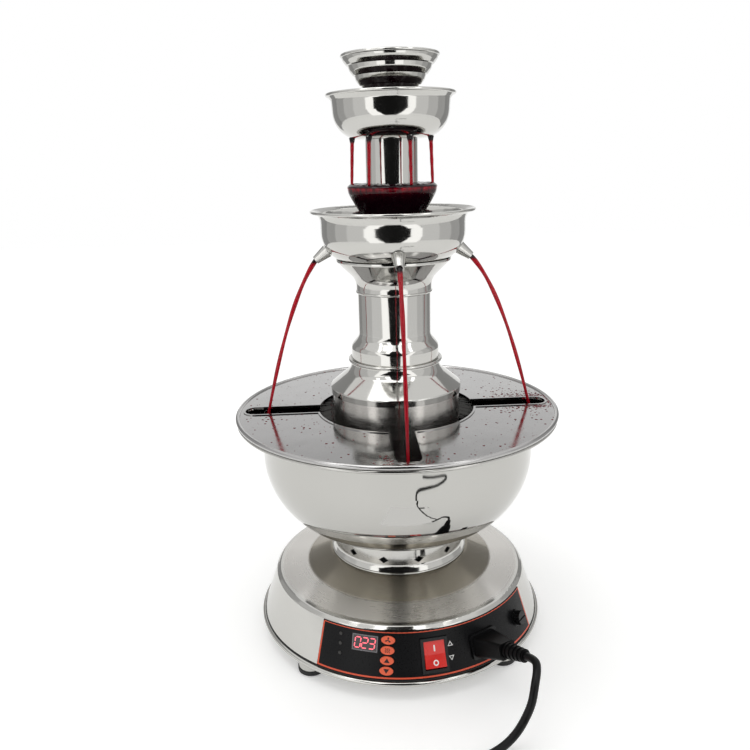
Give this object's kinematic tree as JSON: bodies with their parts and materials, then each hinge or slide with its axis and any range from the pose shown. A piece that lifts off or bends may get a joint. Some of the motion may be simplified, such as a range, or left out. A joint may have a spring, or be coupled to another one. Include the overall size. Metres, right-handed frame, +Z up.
{
  "type": "drinks fountain",
  "caption": "Stainless steel drinks fountain: heated electric base, lower bowl under a slotted splash plate, column, spouted middle bowl, drip cup, upper bowl and stepped top cup.",
  "frame": {"origin": "point on the table below the middle of the fountain", "axes": "+Z up along the fountain's axis, front with the control panel facing -Y, +X to the right"},
  "size_m": [0.3195, 0.5202, 0.5632],
  "materials": {
    "polished_steel": "polished",
    "satin_steel": "satin",
    "foot_rubber": "matte",
    "seal_rubber": "matte",
    "panel_black": "satin",
    "display_red": "gloss",
    "dark_plastic": "satin",
    "lamp_red": "gloss",
    "board_green": "matte",
    "key_orange": "satin",
    "rocker_red": "gloss",
    "contact_brass": "satin",
    "fuse_glass": "clear",
    "copper_winding": "satin",
    "hub_aluminium": "satin",
    "pump_plastic": "satin",
    "cord_black": "satin"
  },
  "bodies": {
    "base": {"lower_bowl": "polished_steel", "base_shell": "polished_steel", "vent_collar": "polished_steel", "base_tray": "polished_steel", "foot_posts": "polished_steel", "foot_screws": "satin_steel", "tie_rods": "satin_steel", "tie_nuts": "satin_steel", "motor_plate": "satin_steel", "motor_screws": "satin_steel", "motor_case": "satin_steel", "motor_bearings": "satin_steel", "temperature_probe": "satin_steel", "foot_pads": "foot_rubber", "base_gasket": "foot_rubber", "panel_overlay": "panel_black", "display_window": "display_red", "display_module": "dark_plastic", "indicator_leds": "lamp_red", "control_board": "board_green", "tact_switches": "dark_plastic", "rocker_frame": "dark_plastic", "inlet_housing": "dark_plastic", "inlet_pins": "contact_brass", "fuse_holder": "dark_plastic", "fuse_cartridge": "fuse_glass", "stator": "copper_winding", "heater_ring": "hub_aluminium", "pump_housing": "pump_plastic", "pump_cover": "pump_plastic", "cord_connector": "cord_black", "cord_run": "cord_black", "cord_coil": "cord_black", "cord_plug": "cord_black", "cord_tie": "dark_plastic"},
    "drive": {"motor_rotor": "satin_steel", "drive_hub": "hub_aluminium"},
    "impeller": {"impeller": "pump_plastic"},
    "rocker": {"rocker_key": "rocker_red"},
    "motor_key": {"key_motor": "key_orange"},
    "heat_key": {"key_heat": "key_orange"},
    "up_key": {"key_up": "key_orange"},
    "down_key": {"key_down": "key_orange"},
    "fuse_cap": {"fuse_cap": "dark_plastic"},
    "splash_plate": {"splash_plate": "polished_steel"},
    "column": {"column_skirt": "satin_steel", "column_shoulder": "polished_steel", "column_trunk": "polished_steel", "column_capital": "polished_steel", "riser_tube": "satin_steel", "riser_seal": "seal_rubber", "riser_spiders": "pump_plastic"},
    "mid_tier": {"mid_bowl": "polished_steel", "spouts": "polished_steel", "spout_nuts": "satin_steel"},
    "drip_tier": {"drip_cup": "polished_steel", "upper_tube": "polished_steel"},
    "upper_tier": {"upper_bowl": "polished_steel", "drip_nozzles": "dark_plastic"},
    "top_tier": {"top_cup": "polished_steel"}
  },
  "joints": [
    {"name": "motor_spin", "type": "hinge", "parent": "base", "child": "drive", "pos_m": [0, 0, 0.09], "axis": [0, 0, 1], "continuous": true},
    {"name": "impeller_spin", "type": "hinge", "parent": "base", "child": "impeller", "pos_m": [0, 0, 0.125], "axis": [0, 0, 1], "continuous": true},
    {"name": "rocker_tilt", "type": "hinge", "parent": "base", "child": "rocker", "pos_m": [0.02082, -0.13294, 0.03875], "axis": [0.988, 0.1547, 0], "range_deg": [0, 20]},
    {"name": "motor_key_press", "type": "slide", "parent": "base", "child": "motor_key", "axis": [0.2928, 0.9012, -0.3197], "range_m": [0, 0.0008], "stiffness_N_per_m": 600, "springref_m": -0.0012},
    {"name": "heat_key_press", "type": "slide", "parent": "base", "child": "heat_key", "axis": [0.2928, 0.9012, -0.3197], "range_m": [0, 0.0008], "stiffness_N_per_m": 600, "springref_m": -0.0012},
    {"name": "up_key_press", "type": "slide", "parent": "base", "child": "up_key", "axis": [0.2928, 0.9012, -0.3197], "range_m": [0, 0.0008], "stiffness_N_per_m": 600, "springref_m": -0.0012},
    {"name": "down_key_press", "type": "slide", "parent": "base", "child": "down_key", "axis": [0.2928, 0.9012, -0.3197], "range_m": [0, 0.0008], "stiffness_N_per_m": 600, "springref_m": -0.0012},
    {"name": "fuse_cap_turn", "type": "hinge", "parent": "base", "child": "fuse_cap", "pos_m": [0.10842, -0.08717, 0.04072], "axis": [0.7385, -0.5937, 0.3197], "range_deg": [0, 90]},
    {"name": "splash_plate_lift", "type": "slide", "parent": "base", "child": "splash_plate", "axis": [0, 0, 1], "range_m": [0, 0.1]},
    {"name": "column_lift", "type": "slide", "parent": "base", "child": "column", "axis": [0, 0, 1], "range_m": [0, 0.14]},
    {"name": "mid_bowl_lift", "type": "slide", "parent": "column", "child": "mid_tier", "axis": [0, 0, 1], "range_m": [0, 0.15]},
    {"name": "drip_cup_lift", "type": "slide", "parent": "mid_tier", "child": "drip_tier", "axis": [0, 0, 1], "range_m": [0, 0.07]},
    {"name": "upper_bowl_lift", "type": "slide", "parent": "drip_tier", "child": "upper_tier", "axis": [0, 0, 1], "range_m": [0, 0.06]},
    {"name": "top_cup_lift", "type": "slide", "parent": "upper_tier", "child": "top_tier", "axis": [0, 0, 1], "range_m": [0, 0.06]}
  ],
  "couplings": [
    {"joint": "impeller_spin", "follows": "motor_spin", "ratio": 1}
  ]
}
